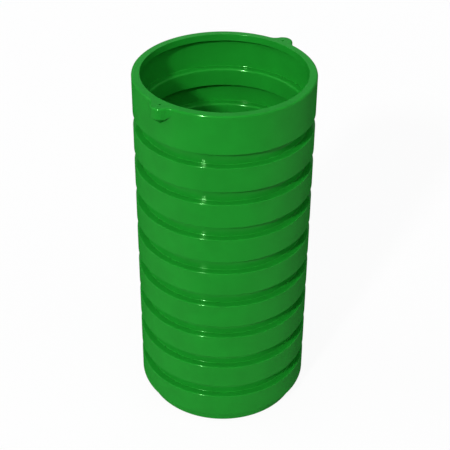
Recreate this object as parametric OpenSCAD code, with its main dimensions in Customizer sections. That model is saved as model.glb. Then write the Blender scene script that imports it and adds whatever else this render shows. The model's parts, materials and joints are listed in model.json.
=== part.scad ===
// Riser extension for the access opening of a buried tank, moulded in one piece.
// A banded barrel, open from end to end, has a spigot at its foot, a thick lip inside
// its rim and two ears on the rim that take the screws of a lid.
// All sizes are in millimetres. The foot stands on z = 0 and the axis runs up Z.

/* [Barrel] */
// Outer radius of the rim and of the bands
band_r = 288.5; // [270:0.5:310]
// Depth of the grooves, from the bands in to the necks
groove_depth = 23.5; // [20:0.5:33]
// Thickness of the moulded wall
wall = 8; // [6:0.5:9]
// Number of grooves cut by the necks, with one band below each
groove_count = 8; // [1:1:10]
// Distance from one groove to the next
pitch = 130.75; // [110:0.25:150]
// Height of each groove
groove_h = 45; // [35:1:60]
// Height of the plain top band, rim included
top_band_h = 131; // [100:1:180]

/* [Joint ends] */
// Depth of the lip, from the rim's outer face in to the bore that takes the plug of a lid
lip_depth = 26; // [20:0.5:32]
// Height of the lip
lip_h = 23; // [12:1:28]
// Depth of the step from the lowest band in to the spigot
spigot_step = 23.5; // [20:0.5:30]
// Height of the spigot
spigot_h = 42; // [30:1:60]

/* [Rounds] */
// Round on the outer edges of the bands
edge_round = 2.5; // [1:0.5:4]
// Round at the foot of each groove, against the neck
root_round = 2; // [1:0.5:6]
// Round on the upper inner edge of each neck and of the spigot
ridge_round = 8; // [3:0.5:10]
// Round on the lower inner edge of each neck
ridge_under_round = 2; // [1:0.5:6]
// Round in the corners of the hollows behind the bands
recess_round = 1; // [0.5:0.5:4]
// Round on the outer edge of the rim
rim_round = 6; // [1:0.5:7]
// Round on the edges of the lip and the foot
lip_round = 1; // [0.5:0.5:3]

/* [Ears] */
// Number of ears, evenly spaced
ear_count = 2; // [2:1:6]
// Distance of the screw holes' axes in from the rim's outer face
screw_inset = 1; // [-4:0.5:4]
// Radius of an ear about its screw hole
ear_r = 31; // [22:0.5:34]
// Radius of the hollow blend from an ear to the barrel
ear_blend_r = 32; // [12:1:40]
// Full height of an ear
ear_h = 60; // [50:1:90]
// Height of the tapered underside of an ear
ear_taper_h = 24; // [15:1:35]
// Radius that the underside tapers to at its lowest point
ear_tip_r = 4; // [2:0.5:8]
// Radius of each blind screw hole
screw_hole_r = 4; // [2:0.25:5]
// Depth of each screw hole
screw_hole_h = 22; // [12:1:30]

/* [Hidden] */
$fn = 96;

round_steps = 3;
overshoot = 1;
// How far the hollows beside an ear are sunk into the ear and the barrel
blend_sink = 0.5;
overall_h = spigot_h + groove_count * pitch + top_band_h;
band_h = pitch - groove_h;
neck_r = band_r - groove_depth;
recess_r = band_r - wall;
lip_r = band_r - lip_depth;
spigot_r = band_r - spigot_step;
screw_r = band_r - screw_inset;
plastic_green = "#24883a";

// Lowest point of groove i, counted from the foot
function groove_z(i) = spigot_h + band_h + i * pitch;

function unit(v) = v / norm(v);
function spot(corner) = [corner[0], corner[1]];

// Arc in a square corner: each corner is [radius, height, round]
function rounded_corner(before, corner, after) =
    let (back = unit(spot(before) - spot(corner)),
         ahead = unit(spot(after) - spot(corner)))
    [for (i = [0:round_steps])
        let (turn = 90 * i / round_steps)
        spot(corner) + corner[2] * ((1 - sin(turn)) * back + (1 - cos(turn)) * ahead)];

function rounded_outline(corners) =
    let (last = len(corners) - 1)
    [for (i = [0:last])
        each rounded_corner(corners[i == 0 ? last : i - 1], corners[i],
                            corners[i == last ? 0 : i + 1])];

// Corners of the outside, from the foot of the spigot up to the rim
function outer_corners() = concat(
    [[spigot_r, 0, lip_round],
     [spigot_r, spigot_h, root_round],
     [band_r, spigot_h, edge_round]],
    [for (i = [0:groove_count - 1])
        each [[band_r, groove_z(i), edge_round],
              [neck_r, groove_z(i), root_round],
              [neck_r, groove_z(i) + groove_h, root_round],
              [band_r, groove_z(i) + groove_h, edge_round]]],
    [[band_r, overall_h, rim_round]]);

// Corners of the inside, from the lip down to the foot
function inner_corners() = concat(
    [[lip_r, overall_h, lip_round],
     [lip_r, overall_h - lip_h, lip_round],
     [recess_r, overall_h - lip_h, recess_round]],
    [for (i = [groove_count - 1:-1:0])
        each [[recess_r, groove_z(i) + groove_h + wall, recess_round],
              [neck_r - wall, groove_z(i) + groove_h + wall, ridge_round],
              [neck_r - wall, groove_z(i) - wall, ridge_under_round],
              [recess_r, groove_z(i) - wall, recess_round]]],
    [[recess_r, spigot_h + wall, recess_round],
     [spigot_r - wall, spigot_h + wall, ridge_round],
     [spigot_r - wall, 0, lip_round]]);

module barrel_wall() {
    rotate_extrude()
        polygon(rounded_outline(concat(outer_corners(), inner_corners())));
}

// Ear that points along X: a post about the screw, with the rim's round on its upper edge
module ear_post() {
    translate([screw_r, 0, 0])
        rotate_extrude()
            polygon(concat([[0, -overshoot], [ear_r, -overshoot]],
                           rounded_corner([ear_r, 0], [ear_r, ear_h, rim_round], [0, ear_h]),
                           [[0, ear_h]]));
}

// Round hollow that turns the side of an ear into the barrel, widened by the same round
module blend_hollow() {
    rotate_extrude()
        polygon(concat([[0, -2 * overshoot], [ear_blend_r, -2 * overshoot]],
                       rounded_corner([ear_blend_r, 0], [ear_blend_r, ear_h, rim_round],
                                      [ear_blend_r + rim_round, ear_h]),
                       [[ear_blend_r + rim_round, ear_h + overshoot], [0, ear_h + overshoot]]));
}

// Web that joins the post to the barrel, between the two hollows
module ear_web() {
    post_gap = ear_r + ear_blend_r - blend_sink;
    barrel_gap = band_r + ear_blend_r - blend_sink;
    blend_angle = acos((pow(barrel_gap, 2) + pow(screw_r, 2) - pow(post_gap, 2))
                       / (2 * barrel_gap * screw_r));
    hollow = barrel_gap * [cos(blend_angle), sin(blend_angle)];
    difference() {
        translate([0, 0, -overshoot]) linear_extrude(ear_h + overshoot)
            polygon([[0, 0], [hollow[0], -hollow[1]], [screw_r, 0], hollow]);
        for (side = [-1, 1])
            translate([hollow[0], side * hollow[1], 0]) blend_hollow();
    }
}

// Cone that leaves the tapered underside
module ear_taper() {
    slope = (ear_r - ear_tip_r) / ear_taper_h;
    cone_h = ear_h + overshoot;
    translate([screw_r, 0, 0])
        cylinder(r1 = ear_tip_r, r2 = ear_tip_r + slope * cone_h, h = cone_h);
}

// What an ear leaves free: the bore, up to the middle of the wall and of the lip
module ear_inner_limit() {
    wall_middle = band_r - wall / 2;
    lip_middle = (lip_r + band_r) / 2;
    step_z = ear_h - lip_h / 2;
    rotate_extrude()
        polygon([[0, -2 * overshoot], [wall_middle, -2 * overshoot], [wall_middle, step_z],
                 [lip_middle, step_z], [lip_middle, ear_h + overshoot], [0, ear_h + overshoot]]);
}

// One ear, with its top flush with the rim
module ear() {
    translate([0, 0, overall_h - ear_h])
        difference() {
            intersection() {
                union() {
                    ear_post();
                    ear_web();
                }
                ear_taper();
            }
            ear_inner_limit();
        }
}

module screw_hole() {
    translate([screw_r, 0, overall_h - screw_hole_h])
        cylinder(r = screw_hole_r, h = screw_hole_h + overshoot);
}

module riser_barrel() {
    color(plastic_green)
        difference() {
            union() {
                barrel_wall();
                for (i = [0:ear_count - 1]) rotate(i * 360 / ear_count) ear();
            }
            for (i = [0:ear_count - 1]) rotate(i * 360 / ear_count) screw_hole();
        }
}

riser_barrel();
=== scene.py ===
import json
import math

import bmesh
import bpy
from mathutils import Matrix, Vector


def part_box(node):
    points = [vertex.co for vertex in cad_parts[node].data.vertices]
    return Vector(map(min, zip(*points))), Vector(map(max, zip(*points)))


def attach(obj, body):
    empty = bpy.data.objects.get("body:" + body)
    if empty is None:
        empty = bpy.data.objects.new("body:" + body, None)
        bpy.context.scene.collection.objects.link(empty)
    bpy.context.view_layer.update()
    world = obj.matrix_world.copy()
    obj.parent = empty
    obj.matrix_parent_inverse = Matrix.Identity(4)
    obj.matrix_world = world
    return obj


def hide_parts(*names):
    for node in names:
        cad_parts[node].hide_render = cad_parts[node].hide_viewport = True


# A one-piece moulded riser for a tank's access opening, stood on a pale studio floor.
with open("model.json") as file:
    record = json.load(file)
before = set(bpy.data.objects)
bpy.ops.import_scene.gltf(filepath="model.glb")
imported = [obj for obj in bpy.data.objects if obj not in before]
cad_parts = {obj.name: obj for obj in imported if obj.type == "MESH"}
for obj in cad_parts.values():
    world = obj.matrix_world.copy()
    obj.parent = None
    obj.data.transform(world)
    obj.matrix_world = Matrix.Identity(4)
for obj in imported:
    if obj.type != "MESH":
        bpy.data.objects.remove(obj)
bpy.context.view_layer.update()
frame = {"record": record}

MM = 0.001
NODE = "riser_barrel"
MOUNTS = {mount["name"]: mount for mount in frame["record"]["mounts"]}
BOX_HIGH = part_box(NODE)[1]

# ---------------------------------------------------------------- sizes, in metres
BAND_R = BOX_HIGH.y
OVERALL_H = BOX_HIGH.z
LIP_R = MOUNTS["lip_bore"]["dims"]["r_mm"] * MM
SPIGOT_R = MOUNTS["spigot"]["dims"]["r_mm"] * MM
SCREW_R = MOUNTS["lid_screws"]["dims"]["pcd_mm"] * MM / 2
SCREW_HOLE_R = MOUNTS["lid_screws"]["dims"]["hole_r_mm"] * MM
NECK_R = 265 * MM
WALL = 8 * MM
RECESS_R = BAND_R - WALL
GROOVES = 8
PITCH = 130.75 * MM
GROOVE_H = 45 * MM
TOP_BAND_H = 131 * MM
LIP_H = 23 * MM
SPIGOT_H = OVERALL_H - TOP_BAND_H - GROOVES * PITCH
SCREW_HOLE_H = 22 * MM

EDGE_ROUND = 2.5 * MM
ROOT_ROUND = 2 * MM
RIDGE_ROUND = 8 * MM
RIDGE_UNDER_ROUND = 2 * MM
RECESS_ROUND = 1 * MM
RIM_ROUND = 6 * MM
LIP_ROUND = 1 * MM
ROUND_SEGMENTS = 3

EAR_R = BOX_HIGH.x - SCREW_R
EAR_BLEND_R = 32 * MM
EAR_H = 60 * MM
EAR_TAPER_H = 24 * MM
EAR_TIP_R = 4 * MM
EAR_UNDER_ROUND = 2 * MM
EAR_ROOT_ROUND = 3 * MM
# How far the tapered underside may climb before it runs out inside the wall
EAR_CLIMB = 0.75 * EAR_H

# The part of the wall that an ear is drawn out of: its lower end, its half span round the
# axis, and the rows of points just above that end that become the ear's underside
EAR_FLOOR = OVERALL_H - 75 * MM
EAR_HALF_SPAN = math.radians(11.5)
EAR_ROWS = 10
EAR_ROW_GAP = 1 * MM
EAR_COLUMNS = 48
PLAIN_COLUMNS = 72
# Where the post ends and the hollow blend ends, as shares of the half span
POST_SHARE = 0.5
BLEND_SHARE = 0.9

SMOOTH_ANGLE = math.radians(40)
SLACK = 0.1 * MM
WELD = 0.001 * MM
EAR_WELD = 0.01 * MM


# ---------------------------------------------------------------- barrel
def groove_z(index):
    """Lowest point of a groove, counted from the foot."""
    return SPIGOT_H + PITCH - GROOVE_H + index * PITCH


def outer_corners():
    """Corners of the outside as (radius, height, round), from the foot to the rim."""
    corners = [
        (SPIGOT_R, 0, LIP_ROUND),
        (SPIGOT_R, SPIGOT_H, ROOT_ROUND),
        (BAND_R, SPIGOT_H, EDGE_ROUND),
    ]
    for index in range(GROOVES):
        low, high = groove_z(index), groove_z(index) + GROOVE_H
        corners += [
            (BAND_R, low, EDGE_ROUND),
            (NECK_R, low, ROOT_ROUND),
            (NECK_R, high, ROOT_ROUND),
            (BAND_R, high, EDGE_ROUND),
        ]
    return corners + [(BAND_R, OVERALL_H, RIM_ROUND)]


def inner_corners():
    """Corners of the hollow inside, from the lip down to the foot."""
    corners = [
        (LIP_R, OVERALL_H, LIP_ROUND),
        (LIP_R, OVERALL_H - LIP_H, LIP_ROUND),
        (RECESS_R, OVERALL_H - LIP_H, RECESS_ROUND),
    ]
    for index in reversed(range(GROOVES)):
        low, high = groove_z(index) - WALL, groove_z(index) + GROOVE_H + WALL
        corners += [
            (RECESS_R, high, RECESS_ROUND),
            (NECK_R - WALL, high, RIDGE_ROUND),
            (NECK_R - WALL, low, RIDGE_UNDER_ROUND),
            (RECESS_R, low, RECESS_ROUND),
        ]
    return corners + [
        (RECESS_R, SPIGOT_H + WALL, RECESS_ROUND),
        (SPIGOT_R - WALL, SPIGOT_H + WALL, RIDGE_ROUND),
        (SPIGOT_R - WALL, 0, LIP_ROUND),
    ]


def draw_section(bm):
    """Draws the wall's section as a closed wire in the XZ plane and rounds its corners."""
    outside = outer_corners()
    rows = [(BAND_R, EAR_FLOOR + i * EAR_ROW_GAP, 0) for i in range(EAR_ROWS)]
    corners = outside[:-1] + rows + outside[-1:] + inner_corners()
    verts = [bm.verts.new((radius, 0, height)) for radius, height, _ in corners]
    for i, vert in enumerate(verts):
        bm.edges.new((vert, verts[i - 1]))
    for size in sorted({corner[2] for corner in corners} - {0}):
        bmesh.ops.bevel(
            bm, geom=[v for v, corner in zip(verts, corners) if corner[2] == size],
            offset=size, offset_type="OFFSET", segments=ROUND_SEGMENTS, profile=0.5,
            affect="VERTICES", material=-1,
        )


def spin_section(bm):
    """Turns the section round the axis, with close columns where the ears are."""
    ring = bm.verts[:] + bm.edges[:]
    bmesh.ops.rotate(bm, verts=bm.verts[:], matrix=Matrix.Rotation(-EAR_HALF_SPAN, 3, "Z"))
    plain_span = math.pi - 2 * EAR_HALF_SPAN
    for span, columns in ((2 * EAR_HALF_SPAN, EAR_COLUMNS), (plain_span, PLAIN_COLUMNS)) * 2:
        ring = bmesh.ops.spin(
            bm, geom=ring, cent=(0, 0, 0), axis=(0, 0, 1), angle=span, steps=columns,
        )["geom_last"]
    bmesh.ops.remove_doubles(bm, verts=bm.verts[:], dist=WELD)


# ---------------------------------------------------------------- ears
SCREW = Vector((SCREW_R, 0))
BLEND_MIDDLE_R = BAND_R + EAR_BLEND_R
BLEND_TURN = math.acos(
    (BLEND_MIDDLE_R**2 + SCREW_R**2 - (EAR_R + EAR_BLEND_R) ** 2)
    / (2 * BLEND_MIDDLE_R * SCREW_R)
)


def heading(turn):
    """Unit vector at an angle from the X axis."""
    return Vector((math.cos(turn), math.sin(turn)))


BLEND_MIDDLE = BLEND_MIDDLE_R * heading(BLEND_TURN)
TOUCH_TURN = (BLEND_MIDDLE - SCREW).angle_signed(Vector((1, 0)))


def ear_outline(turn, inset):
    """Point of the rim's outline in plan, for a column that starts at this angle.

    Round an ear the columns spread evenly along the post and the hollow blend beside it.
    inset draws the outline in by an even margin, as the round on its upper edge does."""
    share = turn / EAR_HALF_SPAN
    if share <= POST_SHARE:
        return SCREW + (EAR_R - inset) * heading(TOUCH_TURN * share / POST_SHARE)
    if share < BLEND_SHARE:
        along = (share - POST_SHARE) / (BLEND_SHARE - POST_SHARE)
        facing = math.pi + TOUCH_TURN + (BLEND_TURN - TOUCH_TURN) * along
        return BLEND_MIDDLE + (EAR_BLEND_R + inset) * heading(facing)
    if share < 1:
        along = (share - BLEND_SHARE) / (1 - BLEND_SHARE)
        turn = BLEND_TURN + (EAR_HALF_SPAN - BLEND_TURN) * along
    return (BAND_R - inset) * heading(turn)


def underside(spot):
    """Point on an ear's tapered underside above or below a spot of the plan."""
    slope = EAR_TAPER_H / (EAR_R - EAR_TIP_R)
    rise = min(max(0, (spot - SCREW).length - EAR_TIP_R) * slope, EAR_CLIMB)
    return Vector((*spot, OVERALL_H - EAR_H + rise))


def rounded(before, corner, after, size, steps=2):
    """Points of a small round in place of a corner."""
    start = corner + (before - corner).normalized() * min(size, (before - corner).length / 2)
    end = corner + (after - corner).normalized() * min(size, (after - corner).length / 2)
    for i in range(steps + 1):
        share = i / steps
        yield start.lerp(corner, share).lerp(corner.lerp(end, share), share)


def ear_profile(turn):
    """Points of a column of the outer wall, from below an ear up to its upright side."""
    crest = ear_outline(turn, 0)
    low = Vector((*BAND_R * heading(turn), EAR_FLOOR))
    root = BAND_R * crest.normalized()
    under = [underside(root.lerp(crest, share)) for share in (0, 0.25, 0.5, 0.75, 1)]
    top = Vector((*crest, OVERALL_H - RIM_ROUND))
    return [
        low, *rounded(low, under[0], under[1], EAR_ROOT_ROUND), *under[1:-1],
        *rounded(under[-2], under[-1], top, EAR_UNDER_ROUND),
    ]


def pull_out_ears(bm):
    """Draws the top of the outer wall out into two ears with tapered undersides.

    Every ear point is worked out on one quarter and turned over to its own side."""
    for vert in bm.verts:
        radius = vert.co.xy.length
        if radius < BAND_R - RIM_ROUND - SLACK or vert.co.z < EAR_FLOOR - SLACK:
            continue
        side = Vector((math.copysign(1, vert.co.x), math.copysign(1, vert.co.y), 1))
        turn = math.atan2(abs(vert.co.y), abs(vert.co.x))
        row = round((vert.co.z - EAR_FLOOR) / EAR_ROW_GAP)
        if row < EAR_ROWS:
            spot = ear_profile(turn)[row]
        else:
            spot = Vector((*ear_outline(turn, BAND_R - radius), vert.co.z))
        vert.co = spot * side
    bmesh.ops.remove_doubles(bm, verts=bm.verts[:], dist=EAR_WELD)


def bore_screw_holes(shell):
    """Bores the blind pilot hole in each ear."""
    bm = bmesh.new()
    for side in (-1, 1):
        bmesh.ops.create_cone(
            bm, cap_ends=True, segments=24, radius1=SCREW_HOLE_R, radius2=SCREW_HOLE_R,
            depth=2 * SCREW_HOLE_H, matrix=Matrix.Translation((side * SCREW_R, 0, OVERALL_H)),
        )
    drill = mesh_object("screw_drill", bm)
    cut = shell.modifiers.new("screw holes", "BOOLEAN")
    cut.operation = "DIFFERENCE"
    cut.solver = "EXACT"
    cut.object = drill
    bored = bpy.data.meshes.new_from_object(
        shell.evaluated_get(bpy.context.evaluated_depsgraph_get())
    )
    shell.modifiers.clear()
    shell.data = bored
    bpy.data.objects.remove(drill)


def mesh_object(name, bm):
    """Makes a scene object from a bmesh."""
    mesh = bpy.data.meshes.new(name)
    bm.to_mesh(mesh)
    bm.free()
    piece = bpy.data.objects.new(name, mesh)
    bpy.context.scene.collection.objects.link(piece)
    return piece


def shade_smoothly(mesh):
    """Smooths each corner of a face with the faces that it meets at a blunt angle.

    The larger faces count by far the most, so that flats mirror as flats and each round
    makes the whole turn between them."""
    mesh.polygons.foreach_set("use_smooth", [True] * len(mesh.polygons))
    beside = [[] for _ in mesh.vertices]
    faces = [(face.normal.copy(), face.area**2, face.vertices[:]) for face in mesh.polygons]
    for normal, weight, corners in faces:
        for corner in corners:
            beside[corner].append((normal, weight))
    blunt = math.cos(SMOOTH_ANGLE)
    mesh.normals_split_custom_set([
        sum((other * weight for other, weight in beside[corner] if other.dot(normal) > blunt),
            Vector((0, 0, 0))).normalized()
        for normal, _, corners in faces for corner in corners
    ])


def make_shell():
    """The riser: one hollow wall with its bands, necks, lip, spigot and ears."""
    bm = bmesh.new()
    draw_section(bm)
    spin_section(bm)
    pull_out_ears(bm)
    bmesh.ops.recalc_face_normals(bm, faces=bm.faces[:])
    shell = mesh_object("riser_shell", bm)
    bore_screw_holes(shell)
    shade_smoothly(shell.data)
    return shell


# ---------------------------------------------------------------- materials
CLOUD_SIZE = 90 * MM
PEEL_SIZE = 3 * MM
PEEL_DEPTH = 0.003 * MM
# Upright walls seen from above mirror nothing but the white floor, which would turn the
# green milky. So the gloss is weak and tinted, and fades out toward grazing views.
GLOSS_LEVEL = 0.12
GLOSS_TINT = "#a0ffa0"
GLOSS_FADE_START = 0.83
GLOSS_FADE_BLEND = 0.9
# How much of the floor's seen white is its own glow, which leaves a faint shadow
FLOOR_GLOW = 0.93


def linear(colour):
    """Linear RGBA of an sRGB hex colour."""
    channels = [int(colour[i:i + 2], 16) / 255 for i in (1, 3, 5)]
    return [c / 12.92 if c <= 0.04045 else ((c + 0.055) / 1.055) ** 2.4 for c in channels] + [1]


def new_material(name):
    """An empty node material and its tree."""
    material = bpy.data.materials.new(name)
    material.use_nodes = True
    material.node_tree.nodes.clear()
    return material, material.node_tree


def add_node(tree, kind, settings=None, inputs=None):
    """Adds a node, sets its properties, and sets or links its inputs."""
    node = tree.nodes.new(kind)
    for name, value in (settings or {}).items():
        setattr(node, name, value)
    for name, value in (inputs or {}).items():
        if isinstance(value, bpy.types.NodeSocket):
            tree.links.new(value, node.inputs[name])
        else:
            node.inputs[name].default_value = value
    return node


def moulded_polyethylene():
    """Polyethylene coloured through and rotationally moulded: a clean soft gloss that runs in
    thin lights along the edges, a faint orange peel, and a barely cloudy green."""
    material, tree = new_material("rotomoulded green polyethylene")
    place = add_node(tree, "ShaderNodeTexCoord").outputs["Object"]
    clouds = add_node(tree, "ShaderNodeTexNoise", inputs={
        "Vector": place, "Scale": 1 / CLOUD_SIZE, "Detail": 3.0, "Roughness": 0.55,
    }).outputs["Fac"]
    green = add_node(tree, "ShaderNodeValToRGB", inputs={"Fac": clouds})
    green.color_ramp.elements[0].position = 0.3
    green.color_ramp.elements[0].color = linear("#188524")
    green.color_ramp.elements[1].position = 0.7
    green.color_ramp.elements[1].color = linear("#1a8d27")
    roughness = add_node(tree, "ShaderNodeMapRange", inputs={
        "Value": clouds, "From Min": 0.3, "From Max": 0.7, "To Min": 0.115, "To Max": 0.135,
    }).outputs["Result"]
    grazing = add_node(tree, "ShaderNodeLayerWeight", inputs={
        "Blend": GLOSS_FADE_BLEND,
    }).outputs["Facing"]
    gloss = add_node(tree, "ShaderNodeMapRange", inputs={
        "Value": grazing, "From Min": GLOSS_FADE_START, "To Min": GLOSS_LEVEL, "To Max": 0.0,
    }).outputs["Result"]
    peel = add_node(tree, "ShaderNodeTexNoise", inputs={
        "Vector": place, "Scale": 1 / PEEL_SIZE, "Detail": 1.0,
    }).outputs["Fac"]
    bumps = add_node(tree, "ShaderNodeBump", inputs={
        "Height": peel, "Strength": 1.0, "Distance": PEEL_DEPTH,
    }).outputs["Normal"]
    shader = add_node(tree, "ShaderNodeBsdfPrincipled", inputs={
        "Base Color": green.outputs["Color"],
        "Roughness": roughness,
        "IOR": 1.5,
        "Specular IOR Level": gloss,
        "Specular Tint": linear(GLOSS_TINT),
        "Normal": bumps,
    })
    add_node(tree, "ShaderNodeOutputMaterial", inputs={"Surface": shader.outputs["BSDF"]})
    return material


def background_rays(tree):
    """1 for camera, mirror and glass rays, which see a white background, and 0 for the rest."""
    path = add_node(tree, "ShaderNodeLightPath")
    seen = path.outputs["Is Camera Ray"]
    for name in ("Is Glossy Ray", "Is Transmission Ray"):
        seen = add_node(tree, "ShaderNodeMath", {"operation": "MAXIMUM"}, {
            0: seen, 1: path.outputs[name],
        }).outputs["Value"]
    return seen


def matt_floor():
    """Matt studio floor: white where it is seen, with a faint shadow, and grey to the object,
    so that it throws little light up under the bands."""
    material, tree = new_material("matt white studio floor")
    seen = background_rays(tree)
    shade = add_node(tree, "ShaderNodeMapRange", inputs={
        "Value": seen, "To Min": linear("#aaaaaa")[0], "To Max": linear("#eeeeee")[0],
    }).outputs["Result"]
    share = add_node(tree, "ShaderNodeMath", {"operation": "MULTIPLY"}, {0: seen, 1: FLOOR_GLOW})
    matt = add_node(tree, "ShaderNodeBsdfDiffuse", inputs={"Color": shade})
    white = add_node(tree, "ShaderNodeEmission", inputs={"Strength": 1.0})
    mixed = add_node(tree, "ShaderNodeMixShader", inputs={
        0: share.outputs["Value"], 1: matt.outputs["BSDF"], 2: white.outputs["Emission"],
    })
    add_node(tree, "ShaderNodeOutputMaterial", inputs={"Surface": mixed.outputs["Shader"]})
    return material


# ---------------------------------------------------------------- studio
CAMERA_TURN = math.radians(220.9)
CAMERA_LIFT = math.radians(34.94)
CAMERA_DISTANCE = 13.635 * BAND_R
CAMERA_ASIDE = 0.0194 * BAND_R
CAMERA_ROLL = math.radians(0.486)
CAMERA_LENS = 92.93
CAMERA_SHIFT = 0.0175
# How far the soft lamps and the edge of the floor are, in metres
LAMP_DISTANCE = 8
FLOOR_R = 40
FILL_LEVEL = 0.15
KEY_TURN, KEY_LIFT = -27.5, 32.4


def direction(turn, lift):
    """Unit vector toward a place seen from the middle, from its degrees of turn beside the
    camera's and of lift over the floor."""
    turn, lift = CAMERA_TURN + math.radians(turn), math.radians(lift)
    return Vector((*heading(turn) * math.cos(lift), math.sin(lift)))


def look_from(thing, toward):
    """Turns a camera or a lamp that stands toward that direction to face the middle."""
    thing.rotation_mode = "QUATERNION"
    thing.rotation_quaternion = toward.to_track_quat("Z", "Y")


def make_camera():
    data = bpy.data.cameras.new("camera")
    data.lens = CAMERA_LENS
    data.shift_y = CAMERA_SHIFT
    data.clip_end = 100
    camera = bpy.data.objects.new("camera", data)
    scene.collection.objects.link(camera)
    back = direction(0, math.degrees(CAMERA_LIFT))
    aside = Vector((*heading(CAMERA_TURN).orthogonal(), 0))
    camera.location = Vector((0, 0, OVERALL_H / 2)) + back * CAMERA_DISTANCE + aside * CAMERA_ASIDE
    look_from(camera, back)
    camera.rotation_quaternion @= Matrix.Rotation(CAMERA_ROLL, 4, "Z").to_quaternion()
    scene.camera = camera


def add_softbox(name, turn, lift, width, radiance, colour):
    """A square soft lamp that faces the middle, as bright as a white of this radiance."""
    data = bpy.data.lights.new(name, "AREA")
    data.size = width
    data.energy = radiance * math.pi * width**2
    data.color = linear(colour)[:3]
    lamp = bpy.data.objects.new(name, data)
    scene.collection.objects.link(lamp)
    toward = direction(turn, lift)
    lamp.location = Vector((0, 0, OVERALL_H / 2)) + toward * LAMP_DISTANCE
    look_from(lamp, toward)


def add_sun(name, turn, lift, spread, level, colour):
    """A lamp from afar, as wide as this angle, that lights a face turned to it to this level."""
    data = bpy.data.lights.new(name, "SUN")
    data.energy = level * math.pi
    data.angle = math.radians(spread)
    data.color = linear(colour)[:3]
    lamp = bpy.data.objects.new(name, data)
    scene.collection.objects.link(lamp)
    look_from(lamp, direction(turn, lift))
    return lamp


def make_world():
    """Even fill from all round, white where the camera sees it."""
    world = bpy.data.worlds.new("studio")
    scene.world = world
    world.use_nodes = True
    tree = world.node_tree
    tree.nodes.clear()
    fill = add_node(tree, "ShaderNodeBackground", inputs={
        "Color": linear("#ffffff"), "Strength": FILL_LEVEL,
    })
    white = add_node(tree, "ShaderNodeBackground", inputs={"Color": linear("#ffffff")})
    mixed = add_node(tree, "ShaderNodeMixShader", inputs={
        0: background_rays(tree), 1: fill.outputs["Background"], 2: white.outputs["Background"],
    })
    add_node(tree, "ShaderNodeOutputWorld", inputs={"Surface": mixed.outputs["Shader"]})


def make_floor():
    bm = bmesh.new()
    bmesh.ops.create_circle(bm, cap_ends=True, segments=64, radius=FLOOR_R)
    floor = mesh_object("floor", bm)
    floor.data.materials.append(matt_floor())


scene = bpy.context.scene
scene.view_settings.view_transform = "Standard"
make_camera()
make_world()
add_softbox("left softbox", -90, 33, 5.9, 1.8, "#ffffff")
add_softbox("right softbox", 60, 33, 5.5, 1.28, "#ffffff")
add_softbox("front softbox", -5, 45, 5.5, 1.25, "#ffffff")
add_softbox("top softbox", 0, 72, 4.6, 1.0, "#ffffff")
add_softbox("back softbox", 180, 36, 5.5, 0.6, "#c8e0ff")
add_softbox("low back softbox", 180, 10, 5.5, 1.7, "#ffffff")
add_sun("key", KEY_TURN, KEY_LIFT, 5, 0.65, "#ffffff")
# A small hard light that shows in the gloss alone, along edges and low in the grooves
glint = add_sun("glint", KEY_TURN, KEY_LIFT, 1.2, 4.1, "#ffffff")
glint.visible_diffuse = False
make_floor()

shell = make_shell()
shell.data.materials.append(moulded_polyethylene())
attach(shell, "root")
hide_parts(NODE)
